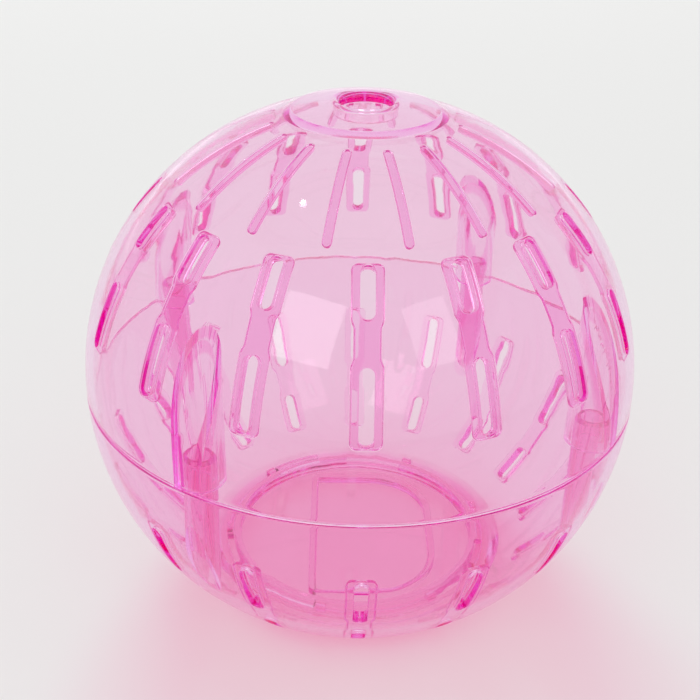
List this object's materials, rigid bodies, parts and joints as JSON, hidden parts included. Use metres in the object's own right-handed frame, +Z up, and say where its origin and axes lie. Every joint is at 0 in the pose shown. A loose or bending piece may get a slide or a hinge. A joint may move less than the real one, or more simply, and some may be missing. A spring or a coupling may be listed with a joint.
{
  "type": "hamster ball",
  "caption": "Clear tinted hollow running ball for a small pet: two vented half shells that pull apart, and a twist lock door in a flat foot.",
  "frame": {"origin": "middle of the flat foot ring under the lower half, on the surface it stands on", "axes": "+Z up the ball's axis from the door to the hub, -Y towards a vent at the front"},
  "size_m": [0.12, 0.12, 0.1103],
  "materials": {
    "upper_half": "clear pink moulded plastic, glossy",
    "lower_half": "clear pink moulded plastic, glossy",
    "door": "clear pink moulded plastic, glossy"
  },
  "bodies": {
    "lower_half": {"lower_shell": "lower_half"},
    "upper_half": {"upper_shell": "upper_half"},
    "door": {"door": "door"}
  },
  "joints": [
    {"name": "upper_lift", "type": "slide", "parent": "lower_half", "child": "upper_half", "axis": [0, 0, 1], "range_m": [0, 0.07]},
    {"name": "door_turn", "type": "hinge", "parent": "lower_half", "child": "door", "pos_m": [0, 0, 0], "axis": [0, 0, -1], "range_deg": [0, 40]}
  ]
}
